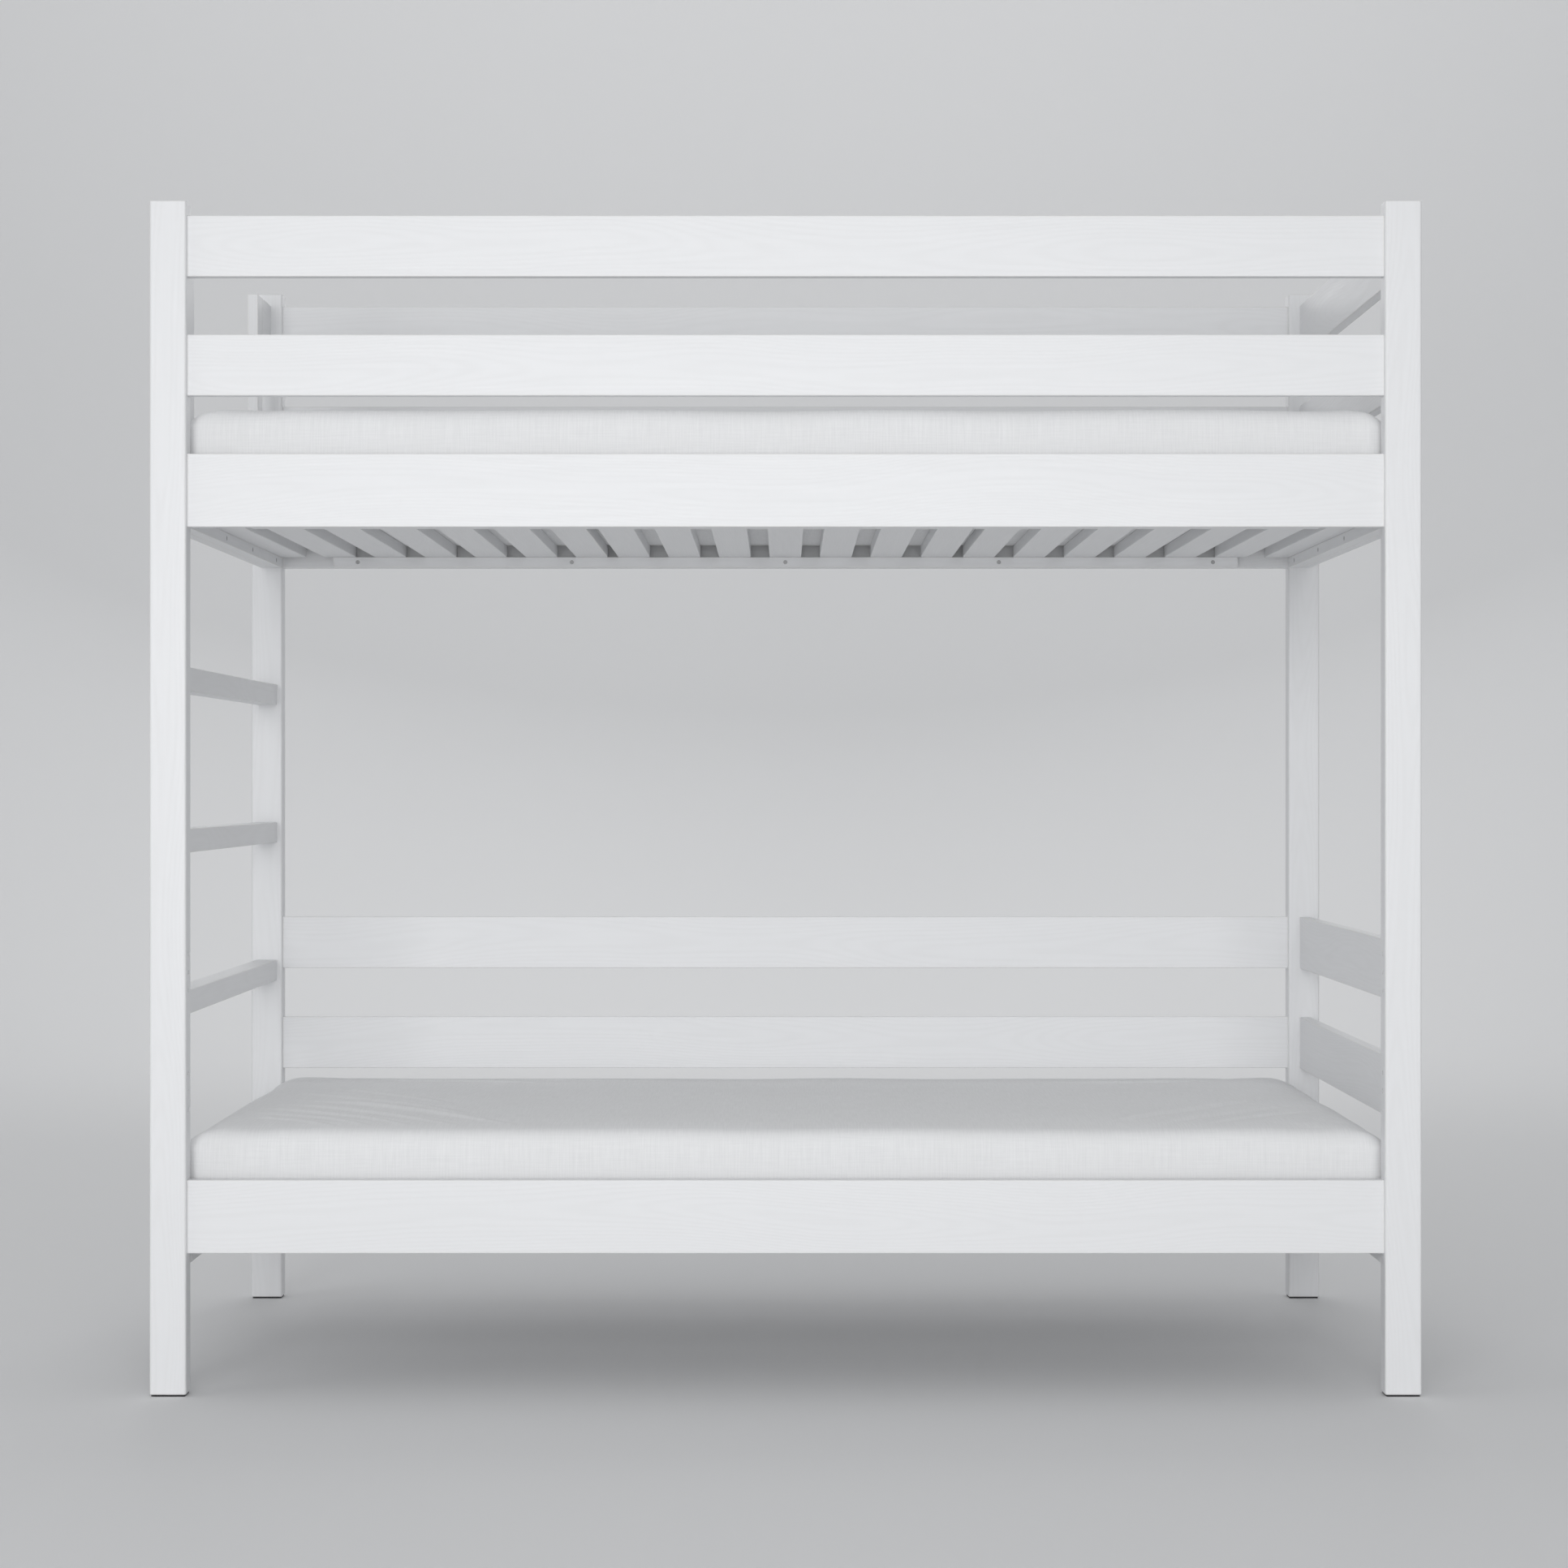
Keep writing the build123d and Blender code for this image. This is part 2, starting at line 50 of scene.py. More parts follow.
LACQUER_OVER_LATEWOOD = (0.795, 0.800, 0.810, 1.0)
LACQUER_WORN_THIN = (0.730, 0.705, 0.655, 1.0)
LACQUER_ROUGHNESS = (0.40, 0.52)
EDGE_WEAR = (0.10, 0.34)
GRAIN_RELIEF, GRAIN_DEPTH = 0.30, 0.00045
BOARD_STEP = 3.7


def add_node(tree, kind, inputs=None, **settings):
    """One shader node; inputs holds a value or a socket to link for each input."""
    made = tree.nodes.new(kind)
    for name, value in settings.items():
        setattr(made, name, value)
    for key, value in (inputs or {}).items():
        if isinstance(value, bpy.types.NodeSocket):
            tree.links.new(value, made.inputs[key])
        else:
            made.inputs[key].default_value = value
    return made


def maths(tree, operation, *terms):
    """The result of one Math node; its terms are values or sockets."""
    made = add_node(tree, "ShaderNodeMath", dict(enumerate(terms)), operation=operation)
    return made.outputs[0]


def mixture(tree, first, *others):
    """The sum of several values, each taken with its own share."""
    total = maths(tree, "MULTIPLY", *first)
    for value, share in others:
        total = maths(tree, "ADD", total, maths(tree, "MULTIPLY", value, share))
    return total


def stretched(tree, place, scale):
    """A place multiplied axis by axis, so that a pattern is drawn out along the small ones."""
    made = add_node(tree, "ShaderNodeVectorMath", {0: place, 1: scale}, operation="MULTIPLY")
    return made.outputs[0]


def blotches(tree, place, scale, board, detail=2.0, output="Fac"):
    """Noise that is different in every board."""
    return add_node(
        tree, "ShaderNodeTexNoise",
        {"Vector": stretched(tree, place, scale), "W": board, "Scale": 1.0, "Detail": detail},
        noise_dimensions="4D",
    ).outputs[output]


def between(tree, value, low, high, to_low=0.0, to_high=1.0):
    """value carried from the range low to high over to another range, and held inside it."""
    return add_node(
        tree, "ShaderNodeMapRange",
        {"Value": value, "From Min": low, "From Max": high, "To Min": to_low, "To Max": to_high},
    ).outputs["Result"]


def blend_colour(tree, share, first, second):
    """first turned into second by share."""
    mix = add_node(tree, "ShaderNodeMix", {0: share, 6: first, 7: second}, data_type="RGBA")
    return mix.outputs[2]


def raised(tree, height, strength, distance):
    """A surface normal for a relief of that height, with distance in metres."""
    return add_node(
        tree, "ShaderNodeBump", {"Height": height, "Strength": strength, "Distance": distance}
    ).outputs["Normal"]


def new_material(name):
    """An empty node material and its Principled shader."""
    made = bpy.data.materials.new(name)
    made.use_nodes = True
    made.node_tree.nodes.clear()
    shader = add_node(made.node_tree, "ShaderNodeBsdfPrincipled")
    add_node(made.node_tree, "ShaderNodeOutputMaterial", {"Surface": shader.outputs["BSDF"]})
    return made, made.node_tree, shader


def dress(name, finish):
    """Gives a CAD node its finish."""
    for material_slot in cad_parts[name].material_slots:
        material_slot.material = finish


def make_pine_figure():
    """The figure of one sawn pine board: rings round a wandering pith, fibres, pores and edges.

    Place runs along the grain, across the width and through the thickness, from the middle.
    """
    ring_spacing = 0.0044
    latewood_sharpness = 1.7
    pith_depth = 0.052
    pith_wander = (0.15, 0.085)
    pith_turns = (1.3, 1.6, 1.6)
    ring_wobble = 0.0042
    wobble_turns = (7.0, 34.0, 34.0)
    fibre_turns = (7.0, 330.0, 330.0)
    pore_turns = (34.0, 1500.0, 1500.0)
    cloud_turns = (1.7, 9.0, 9.0)
    edge_reach = 0.0034
    edge_raggedness = 0.0016

    group = bpy.data.node_groups.new("pine_figure", "ShaderNodeTree")
    for name, kind in (("Place", "Vector"), ("Half", "Vector"), ("Board", "Float")):
        group.interface.new_socket(name, in_out="INPUT", socket_type="NodeSocket" + kind)
    for name in ("Rings", "Fibres", "Pores", "Cloud", "Edge"):
        group.interface.new_socket(name, in_out="OUTPUT", socket_type="NodeSocketFloat")
    given = group.nodes.new("NodeGroupInput").outputs
    place, half, board = given["Place"], given["Half"], given["Board"]

    drift = blotches(group, place, pith_turns, board, 1.0, "Color")
    drift = add_node(group, "ShaderNodeSeparateXYZ", {0: drift}).outputs
    at = add_node(group, "ShaderNodeSeparateXYZ", {0: place}).outputs
    off_pith = []
    for axis, wander, depth in ((1, pith_wander[0], 0.0), (2, pith_wander[1], pith_depth)):
        swing = maths(group, "SUBTRACT", drift[axis - 1], 0.5)
        moved = maths(group, "MULTIPLY_ADD", swing, wander, depth)
        off_pith.append(maths(group, "POWER", maths(group, "ADD", at[axis], moved), 2.0))
    radius = maths(group, "SQRT", maths(group, "ADD", *off_pith))
    wobble = maths(group, "SUBTRACT", blotches(group, place, wobble_turns, board, 2.0), 0.5)
    wobbled = maths(group, "MULTIPLY_ADD", wobble, ring_wobble, radius)
    ring_count = maths(group, "DIVIDE", wobbled, ring_spacing)
    wave = maths(group, "SINE", maths(group, "MULTIPLY", ring_count, 2 * math.pi))
    rings = maths(group, "POWER", between(group, wave, -1.0, 1.0), latewood_sharpness)
    fibres = blotches(group, place, fibre_turns, board, 3.0)
    pores = blotches(group, place, pore_turns, board, 1.0)
    cloud = blotches(group, place, cloud_turns, board, 1.0)

    outward = add_node(group, "ShaderNodeVectorMath", {0: place}, operation="ABSOLUTE").outputs[0]
    inward = add_node(group, "ShaderNodeVectorMath", {0: half, 1: outward}, operation="SUBTRACT")
    end, side, face = add_node(group, "ShaderNodeSeparateXYZ", {0: inward.outputs[0]}).outputs
    nearer, further = maths(group, "MINIMUM", end, side), maths(group, "MAXIMUM", end, side)
    to_edge = maths(group, "MAXIMUM", nearer, maths(group, "MINIMUM", further, face))
    uneven = maths(group, "SUBTRACT", fibres, 0.5)
    ragged = maths(group, "MULTIPLY_ADD", uneven, edge_raggedness, to_edge)
    edge = between(group, ragged, 0.0, edge_reach, 1.0, 0.0)

    add_node(group, "NodeGroupOutput", {0: rings, 1: fibres, 2: pores, 3: cloud, 4: edge})
    return group


pine_figure = make_pine_figure()
boards_finished = 0


def lacquered_pine(name, axes, relief=1.0, tone=1.0):
    """White lacquer over one board; axes are its grain, width and thickness, such as XZY."""
    global boards_finished
    boards_finished += 1
    low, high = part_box(name)
    order = ["XYZ".index(axis) for axis in axes]
    finish, tree, shader = new_material(name + "_lacquer")
    here = add_node(tree, "ShaderNodeTexCoord").outputs["Object"]
    centred = add_node(
        tree, "ShaderNodeVectorMath", {0: here, 1: tuple((low + high) / 2)}, operation="SUBTRACT"
    ).outputs[0]
    split = add_node(tree, "ShaderNodeSeparateXYZ", {0: centred}).outputs
    turned = {i: split[axis] for i, axis in enumerate(order)}
    place = add_node(tree, "ShaderNodeCombineXYZ", turned).outputs[0]
    figure = add_node(tree, "ShaderNodeGroup", node_tree=pine_figure)
    tree.links.new(place, figure.inputs["Place"])
    figure.inputs["Half"].default_value = [(high - low)[axis] / 2 for axis in order]
    figure.inputs["Board"].default_value = BOARD_STEP * boards_finished
    rings, fibres, pores, cloud, edge = figure.outputs

    figured = mixture(tree, (rings, 0.31), (fibres, 0.45), (cloud, 0.24))
    lacquers = (LACQUER_WHITE, LACQUER_OVER_LATEWOOD)
    toned = [tuple(c * tone for c in lacquer[:3]) + (1.0,) for lacquer in lacquers]
    colour = blend_colour(tree, figured, *toned)
    worn = maths(tree, "MULTIPLY", edge, between(tree, cloud, 0.35, 0.75, *EDGE_WEAR))
    worn_colour = blend_colour(tree, worn, colour, LACQUER_WORN_THIN)
    tree.links.new(worn_colour, shader.inputs["Base Color"])
    roughness = between(tree, fibres, 0.3, 0.7, *LACQUER_ROUGHNESS)
    tree.links.new(roughness, shader.inputs["Roughness"])
    height = mixture(tree, (rings, 0.42), (fibres, 0.75), (pores, 0.15))
    grain = raised(tree, height, GRAIN_RELIEF * relief, GRAIN_DEPTH)
    tree.links.new(grain, shader.inputs["Normal"])
    shader.inputs["Specular IOR Level"].default_value = 0.42
    shader.inputs["Coat Weight"].default_value = 0.10
    shader.inputs["Coat Roughness"].default_value = 0.34
    return finish


for corner in ("front_left", "front_right", "back_left", "back_right"):
    dress(corner + "_post", lacquered_pine(corner + "_post", "ZXY"))


# Glides: dark pressed-felt pads, 3 mm thick, glued under the posts, so that the bed can be
# pushed over a floor without a mark.
FELT_DARK = (0.014, 0.014, 0.016, 1.0)
FELT_LIGHT = (0.062, 0.061, 0.064, 1.0)
felt, tree, shader = new_material("pressed_felt")
here = add_node(tree, "ShaderNodeTexCoord").outputs["Object"]
hairs = blotches(tree, here, (900.0, 900.0, 2400.0), 1.0, 3.0)
matted = blotches(tree, here, (160.0, 160.0, 300.0), 2.0, 2.0)
fuzz = maths(tree, "MULTIPLY", hairs, matted)
felt_colour = blend_colour(tree, between(tree, fuzz, 0.12, 0.45), FELT_DARK, FELT_LIGHT)
tree.links.new(felt_colour, shader.inputs["Base Color"])
tree.links.new(raised(tree, fuzz, 0.8, 0.0006), shader.inputs["Normal"])
shader.inputs["Roughness"].default_value = 0.96
shader.inputs["Sheen Weight"].default_value = 0.25
shader.inputs["Sheen Roughness"].default_value = 0.6
for corner in ("front_left", "front_right", "back_left", "back_right"):
    dress(corner + "_glide", felt)


# End frames: the boards across the two ends, 20 mm pine with the grain running across the
# bed, dowelled and glued between the posts before the lacquer goes on.
END_BOARDS = (
    "left_lower_end_rail", "left_upper_end_rail",
    "right_lower_end_rail", "right_lower_lower_board", "right_lower_upper_board",
    "right_upper_end_rail", "right_upper_middle_guard", "right_upper_top_guard",
)
for name in END_BOARDS:
    dress(name, lacquered_pine(name, "YZX"))


# Ladder: three square rungs between the left posts, each on two dowels an end. Their edges
# are rounded a little more than the boards', for bare feet.
RUNG_RELIEF = 0.8
for name in ("ladder_rung_low", "ladder_rung_middle", "ladder_rung_high"):
    dress(name, lacquered_pine(name, "YZX", relief=RUNG_RELIEF))


# Entry: two short uprights stand on the upper end rail beside the opening over the ladder,
# and a stub of guard board ties each of them to its post.
for side in ("front", "back"):
    dress("entry_stanchion_" + side, lacquered_pine("entry_stanchion_" + side, "ZYX"))
    dress("entry_stub_board_" + side, lacquered_pine("entry_stub_board_" + side, "YZX"))


# Long boards: the bed rails, 120 mm tall, and the guard and back boards, 100 mm tall, each
# one length of 20 mm pine bolted between the posts with a dowel above and below the bolt.
LONG_BOARDS = (
    "lower_front_bed_rail",
    "lower_back_bed_rail", "lower_back_lower_board", "lower_back_upper_board",
    "upper_front_bed_rail", "upper_front_middle_guard", "upper_front_top_guard",
    "upper_back_bed_rail", "upper_back_middle_guard", "upper_back_top_guard",
)
for name in LONG_BOARDS:
    dress(name, lacquered_pine(name, "XZY"))


# Ledgers: strips of pine screwed along the insides of the bed rails and end rails, level
# with their lower edges, for the slats to lie on.
for bed in ("lower", "upper"):
    for side, axes in (("front", "XZY"), ("back", "XZY"), ("left", "YZX"), ("right", "YZX")):
        dress(f"{bed}_{side}_ledger", lacquered_pine(f"{bed}_{side}_ledger", axes))


# Slats: 21 pine slats across each bed, in three rolls of seven, lacquered white like the
# frame but with a thinner coat, so the grain stands out a little more.
SLAT_RELIEF, SLAT_TONE = 1.3, 0.985
for bed in ("lower", "upper"):
    for roll in ("left", "middle", "right"):
        finish = lacquered_pine(f"{bed}_slats_{roll}", "YXZ", relief=SLAT_RELIEF, tone=SLAT_TONE)
        dress(f"{bed}_slats_{roll}", finish)


# Tapes: two woven polyester tapes hold each roll of slats at its spacing. They lie flat and
# tight on top of the slats near their ends, and a staple fixes them to every slat.
THREAD_PITCH = 0.0012
TAPE_GREY = (0.56, 0.555, 0.535, 1.0)
TAPE_WHITE = (0.80, 0.795, 0.775, 1.0)
tape, tree, shader = new_material("woven_tape")
here = add_node(tree, "ShaderNodeTexCoord").outputs["Object"]
split = add_node(tree, "ShaderNodeSeparateXYZ", {0: here}).outputs
over = maths(tree, "SINE", maths(tree, "MULTIPLY", split["X"], 2 * math.pi / THREAD_PITCH))
under = maths(tree, "SINE", maths(tree, "MULTIPLY", split["Y"], 2 * math.pi / THREAD_PITCH))
woven = between(tree, maths(tree, "MULTIPLY", over, under), -1.0, 1.0)
soiled = blotches(tree, here, (14.0, 60.0, 60.0), 5.0, 2.0)
shade = mixture(tree, (woven, 0.6), (soiled, 0.4))
tree.links.new(blend_colour(tree, shade, TAPE_GREY, TAPE_WHITE), shader.inputs["Base Color"])
tree.links.new(raised(tree, woven, 0.6, 0.0002), shader.inputs["Normal"])
shader.inputs["Roughness"].default_value = 0.85
shader.inputs["Sheen Weight"].default_value = 0.1
for bed in ("lower", "upper"):
    dress(f"{bed}_slat_tapes", tape)


# Steel fittings: rail bolts with barrel nuts and the staples of the tapes are zinc-plated,
# with the faint bloom and tool rubs of plated steel. The countersunk ledger screws are of
# duller steel, because the driver and the lacquer have been over their heads.
ZINC_DARK = (0.49, 0.50, 0.52, 1.0)
ZINC_BRIGHT = (0.70, 0.705, 0.71, 1.0)
zinc, tree, shader = new_material("zinc_plated_steel")
here = add_node(tree, "ShaderNodeTexCoord").outputs["Object"]
bloom = blotches(tree, here, (420.0, 420.0, 420.0), 1.0, 3.0)
rubs = blotches(tree, here, (90.0, 2600.0, 2600.0), 3.0, 2.0)
zinc_colour = blend_colour(tree, between(tree, bloom, 0.3, 0.7), ZINC_DARK, ZINC_BRIGHT)
tree.links.new(zinc_colour, shader.inputs["Base Color"])
tree.links.new(between(tree, rubs, 0.3, 0.7, 0.24, 0.46), shader.inputs["Roughness"])
tree.links.new(raised(tree, rubs, 0.25, 0.0001), shader.inputs["Normal"])
shader.inputs["Metallic"].default_value = 1.0
for name in ("rail_bolts", "barrel_nuts", "slat_staples"):
    dress(name, zinc)

DULL_DARK = (0.34, 0.34, 0.345, 1.0)
DULL_LIGHT = (0.46, 0.46, 0.465, 1.0)
dulled, tree, shader = new_material("dulled_screw_steel")
here = add_node(tree, "ShaderNodeTexCoord").outputs["Object"]
tarnish = blotches(tree, here, (700.0, 700.0, 700.0), 4.0, 3.0)
dull_colour = blend_colour(tree, between(tree, tarnish, 0.3, 0.7), DULL_DARK, DULL_LIGHT)
tree.links.new(dull_colour, shader.inputs["Base Color"])
tree.links.new(between(tree, tarnish, 0.3, 0.7, 0.38, 0.58), shader.inputs["Roughness"])
tree.links.new(raised(tree, tarnish, 0.3, 0.0001), shader.inputs["Normal"])
shader.inputs["Metallic"].default_value = 0.7
dress("ledger_screws", dulled)


# Dowels: plain pegs of raw beech, chamfered at both ends, that locate the boards and rungs
# on the posts. Beech is warm, close-grained, and flecked with short dark rays.
BEECH_DARK = (0.58, 0.375, 0.215, 1.0)
BEECH_PALE = (0.72, 0.52, 0.345, 1.0)
BEECH_FLECK = (0.36, 0.20, 0.10, 1.0)
beech, tree, shader = new_material("raw_beech")
here = add_node(tree, "ShaderNodeTexCoord").outputs["Object"]
flecks = between(tree, blotches(tree, here, (1400.0, 1400.0, 1400.0), 2.0, 2.0), 0.56, 0.68)
bands = blotches(tree, here, (60.0, 420.0, 420.0), 6.0, 3.0)
banded = blend_colour(tree, bands, BEECH_DARK, BEECH_PALE)
flecked = blend_colour(tree, maths(tree, "MULTIPLY", flecks, 0.5), banded, BEECH_FLECK)
tree.links.new(flecked, shader.inputs["Base Color"])
tree.links.new(raised(tree, bands, 0.4, 0.0002), shader.inputs["Normal"])
shader.inputs["Roughness"].default_value = 0.68
for name in ("rail_dowels", "end_frame_dowels", "ladder_rung_dowels"):
    dress(name, beech)


# Mattresses: a block of foam 90 by 200 cm in a white stretch cover of slubbed cotton. The
# cover is closed all round and pulled tight, so the top crowns a little and the corners
# round off, and slack in the cloth runs in shallow creases from the ends to the long sides.
COVER_HALF = (1.0005, 0.4585)
COVER_LOW, COVER_HIGH = 0.0, 0.1535
COVER_CORNER = 0.040
COVER_TOP_EDGE = (0.068, 0.026, 0.032)
COVER_BOTTOM_EDGE = (0.020, 0.020, 0.020)
COVER_CELL = 0.010
COVER_CROWN = 0.0012
COVER_CAP = 0.0062
SWELL_STEPS = 20
FLAT_BASE = 0.0008
TUCK_DEPTH = 0.00042
WAVE_TOP, WAVE_SIDE = 0.00034, 0.00025
FOAM_INSET = 0.009
FOAM_CELL = 0.030


def edge_steps(half, edge, cell):
    """Grid lines along one side of the plan, closer together where the top edge rounds over."""
    flat = np.linspace(-(half - edge), half - edge, max(3, round(2 * (half - edge) / cell) + 1))
    turns = max(2, round(edge * math.pi / 2 / cell))
    rounded = half - edge * (1 - np.sin(np.arange(1, turns + 1) / turns * math.pi / 2))
    return np.concatenate([-rounded[::-1], flat, rounded])


def padded_block(name, half, low, high, corner, top_edge, bottom_edge, cell, crown=0.0):
    """A closed block in even quads, round at its plan corners and along its edges.

    An edge's rounding is its reach in from the ends, its reach in from the sides, and its height.
    """
    xs, ys = (edge_steps(h, edge, cell) for h, edge in zip(half, top_edge))
    gx, gy = np.meshgrid(xs, ys, indexing="ij")
    inner = [h - corner for h in half]
    u = np.clip((np.abs(gx) - inner[0]) / corner, 0, 1)
    v = np.clip((np.abs(gy) - inner[1]) / corner, 0, 1)
    bent_u, bent_v = u * np.sqrt(1 - v**2 / 2), v * np.sqrt(1 - u**2 / 2)
    px = np.where(u > 0, np.sign(gx) * (inner[0] + corner * bent_u), gx)
    py = np.where(v > 0, np.sign(gy) * (inner[1] + corner * bent_v), gy)
    in_corner = (u > 0) & (v > 0)
    out = np.hypot(bent_u, bent_v)
    from_end, from_side = half[0] - np.abs(px), half[1] - np.abs(py)

    def drop(edge):
        end_reach, side_reach, height = edge
        towards_end = (bent_u / np.maximum(out, 1e-9)) ** 2
        corner_reach = end_reach * towards_end + side_reach * (1 - towards_end)
        at_corner = 1 - corner * (1 - out) / corner_reach
        at_wall = np.maximum(1 - from_end / end_reach, 1 - from_side / side_reach)
        past = np.clip(np.where(in_corner, np.maximum(at_corner, at_wall), at_wall), 0, 1)
        return height * (1 - np.sqrt(1 - past**2))

    dome = crown * (1 - (px / half[0]) ** 4) * (1 - (py / half[1]) ** 4)
    top = np.stack([px, py, high - drop(top_edge) + dome], -1)
    bottom = np.stack([px, py, low + drop(bottom_edge)], -1)
    nx, ny = gx.shape
    points = [top.reshape(-1, 3), bottom.reshape(-1, 3)]
    index = np.arange(nx * ny).reshape(nx, ny)
    quads = np.stack([index[:-1, :-1], index[1:, :-1], index[1:, 1:], index[:-1, 1:]], -1)
    quads = quads.reshape(-1, 4)
    faces = [quads, quads[:, ::-1] + nx * ny]
    rim = np.concatenate([index[:-1, 0], index[-1, :-1], index[:0:-1, -1], index[0, :0:-1]])
    rows = max(2, round((high - top_edge[2] - low - bottom_edge[2]) / cell))
    rings = [rim]
    for row in range(1, rows):
        share = row / rows
        wall = top.reshape(-1, 3)[rim] * (1 - share) + bottom.reshape(-1, 3)[rim] * share
        rings.append(np.arange(len(rim)) + 2 * nx * ny + (row - 1) * len(rim))
        points.append(wall)
    rings.append(rim + nx * ny)
    for upper, lower in zip(rings, rings[1:]):
        ahead_upper, ahead_lower = np.roll(upper, -1), np.roll(lower, -1)
        faces.append(np.stack([upper, lower, ahead_lower, ahead_upper], -1))
    mesh = bpy.data.meshes.new(name)
    mesh.from_pydata(np.concatenate(points).tolist(), [], np.concatenate(faces).tolist())
    mesh.validate()
    mesh.shade_smooth()
    piece = bpy.data.objects.new(name, mesh)
    bpy.context.scene.collection.objects.link(piece)
    return piece


def read_points(mesh):
    flat = np.zeros(len(mesh.vertices) * 3, np.float32)
    mesh.vertices.foreach_get("co", flat)
    return flat.reshape(-1, 3).astype(float)


def write_points(mesh, points):
    mesh.vertices.foreach_set("co", points.astype(np.float32).ravel())
    mesh.update()


def swell(piece, cap, low):
    """Blows the closed cover up from inside: its base stays flat, and no point moves past cap."""
    start = read_points(piece.data)
    resting = piece.vertex_groups.new(name="resting")
    resting.add([int(i) for i in np.flatnonzero(start[:, 2] < low + 1e-4)], 1.0, "REPLACE")
    cloth = piece.modifiers.new("cover_cloth", "CLOTH")
    cloth.settings.quality = 5
    cloth.settings.mass = 0.3
    cloth.settings.tension_stiffness = 30
    cloth.settings.compression_stiffness = 12
    cloth.settings.shear_stiffness = 9
    cloth.settings.bending_stiffness = 1.2
    cloth.settings.use_pressure = True
    cloth.settings.uniform_pressure_force = 4
    cloth.settings.vertex_group_mass = "resting"
    cloth.settings.effector_weights.gravity = 0
    cloth.point_cache.frame_start, cloth.point_cache.frame_end = 1, SWELL_STEPS
    for step in range(1, SWELL_STEPS + 1):
        bpy.context.scene.frame_set(step)
    swollen = piece.evaluated_get(bpy.context.evaluated_depsgraph_get())
    moved = read_points(swollen.data) - start
    bpy.context.scene.frame_set(1)
    piece.modifiers.remove(cloth)
    piece.vertex_groups.remove(resting)
    reach = np.linalg.norm(moved, axis=1, keepdims=True)
    moved *= cap * np.tanh(reach / cap) / np.maximum(reach, 1e-9)
    write_points(piece.data, start + moved)


def subdivide_once(piece):
    """Applies one level of subdivision."""
    piece.modifiers.new("finer", "SUBSURF").levels = 1
    refined = piece.evaluated_get(bpy.context.evaluated_depsgraph_get())
    finer = bpy.data.meshes.new_from_object(refined)
    piece.modifiers.clear()
    piece.data = finer
    finer.shade_smooth()


def smooth_step(x):
    x = np.clip(x, 0, 1)
    return x * x * (3 - 2 * x)


def crease_top(points, high, creases):
    """Raises shallow ridges in the top of the cover, each from one point in plan to another."""
    on_top = smooth_step((points[:, 2] - (high - 0.030)) / 0.022)
    for (x0, y0), (x1, y1), bow, width, height in creases:
        run = math.hypot(x1 - x0, y1 - y0)
        along_x, along_y = (x1 - x0) / run, (y1 - y0) / run
        share = ((points[:, 0] - x0) * along_x + (points[:, 1] - y0) * along_y) / run
        aside = -(points[:, 0] - x0) * along_y + (points[:, 1] - y0) * along_x
        aside = aside - bow * 4 * share * (1 - share)
        fade = smooth_step(share / 0.35) * smooth_step((1 - share) / 0.45)
        ridge = np.exp(-((aside / width) ** 2))
        ridge -= 0.45 * np.exp(-(((aside - 1.9 * width) / (1.3 * width)) ** 2))
        points[:, 2] += height * ridge * fade * on_top


def gather_corners(points, low, high, rng):
    """Small upright tucks where the cloth is drawn round the corners."""
    half = np.abs(points[:, :2]).max(0)
    past = np.abs(points[:, :2]) - (half - COVER_CORNER)
    turned = np.arctan2(np.clip(past[:, 1], 0, None), np.clip(past[:, 0], 1e-6, None))
    run = COVER_CORNER * (turned - math.pi / 4)
    run = run + np.clip(-past[:, 0], 0, None) - np.clip(-past[:, 1], 0, None)
    height_share = (points[:, 2] - low) / (high - low)
    upright = smooth_step(height_share / 0.25) * smooth_step((1.02 - height_share) / 0.35)
    on_wall = smooth_step((past.max(1) - COVER_CORNER + 0.020) / 0.016)
    corner = (points[:, 0] > 0) * 1 + (points[:, 1] > 0) * 2
    for number in range(4):
        pitch = 0.019 + 0.004 * rng.random()
        phase = 6 * rng.random()
        lean = 3 * (rng.random() - 0.5)
        tuck = np.sin(2 * math.pi * run / pitch + phase + lean * height_share)
        tuck += 0.5 * np.sin(2 * math.pi * run / (1.7 * pitch) + 2 * phase)
        near = np.exp(-((run / 0.085) ** 2)) * upright * on_wall * (corner == number)
        from_middle = np.linalg.norm(points[:, :2], axis=1, keepdims=True)
        outward = points[:, :2] / np.maximum(from_middle, 1e-9)
        points[:, :2] += (TUCK_DEPTH * tuck * near)[:, None] * outward


def settle(points, low, high, rng):
    """Slow, shallow waves in the top and the sides, where the cloth lies unevenly on the foam."""
    half = np.abs(points[:, :2]).max(0)
    height_share = (points[:, 2] - low) / (high - low)
    on_top = smooth_step((height_share - 0.75) / 0.2)
    on_side = smooth_step(height_share / 0.3) * (1 - on_top)
    wave = np.zeros(len(points))
    for _ in range(8):
        heading = math.pi * rng.random()
        length = 0.16 + 0.34 * rng.random()
        phase = 2 * math.pi * rng.random()
        along = points[:, 0] * math.cos(heading) + points[:, 1] * math.sin(heading)
        wave += np.sin(2 * math.pi * along / length + phase)
    points[:, 2] += WAVE_TOP * wave * on_top
    points[:, :2] -= WAVE_SIDE * (wave * on_side)[:, None] * (points[:, :2] / half) ** 5


